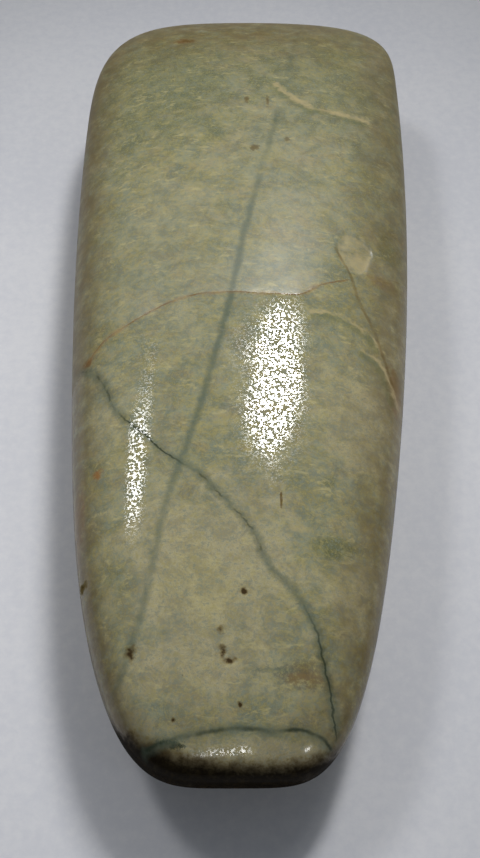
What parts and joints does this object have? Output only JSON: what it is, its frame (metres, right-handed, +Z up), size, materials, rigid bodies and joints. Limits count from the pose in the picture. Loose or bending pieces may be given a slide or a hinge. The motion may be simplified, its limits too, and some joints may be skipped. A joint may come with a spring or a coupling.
{
  "type": "jadeite axe head",
  "caption": "Polished stone axe head of grey-green jadeite: thick oval-section body, curved cutting edge and narrow rounded butt, veined, cracked and iron-stained, lying on its broad face.",
  "frame": {"origin": "on the surface that the stone rests on, under the middle of its box", "axes": "+X across the width, +Y along the length towards the cutting edge, +Z up through the thickness"},
  "size_m": [0.1022, 0.2764, 0.0447],
  "materials": {
    "jadeite": "polished"
  },
  "bodies": {
    "root": {"axe_head": "jadeite"}
  },
  "joints": []
}
